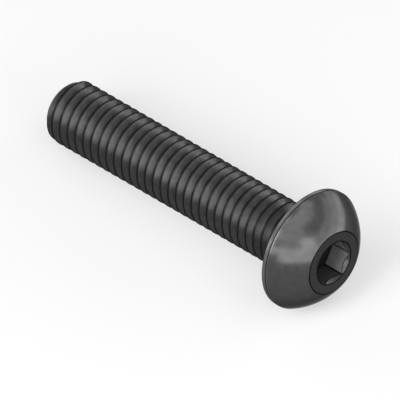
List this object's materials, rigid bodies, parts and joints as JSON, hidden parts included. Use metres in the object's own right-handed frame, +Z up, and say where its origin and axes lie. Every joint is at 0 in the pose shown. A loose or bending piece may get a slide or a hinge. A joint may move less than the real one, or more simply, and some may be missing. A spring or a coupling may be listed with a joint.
{
  "type": "button head screw",
  "caption": "Button head socket screw: a low domed head with a hexagon socket on a fully threaded, right-handed metric shank, lying at rest.",
  "frame": {"origin": "centre of the flat bearing face under the head, on the screw's own axis", "axes": "+Z up; the screw lies at rest on a level surface, rim and thread both touching it, so its own axis runs in the XZ plane, towards the head along +X and rising 5.26 degrees"},
  "size_m": [0.0281, 0.0094, 0.0095],
  "materials": {
    "black_steel": "black oxide over smooth steel, satin"
  },
  "bodies": {
    "root": {"button_head_screw": "black_steel"}
  },
  "joints": []
}
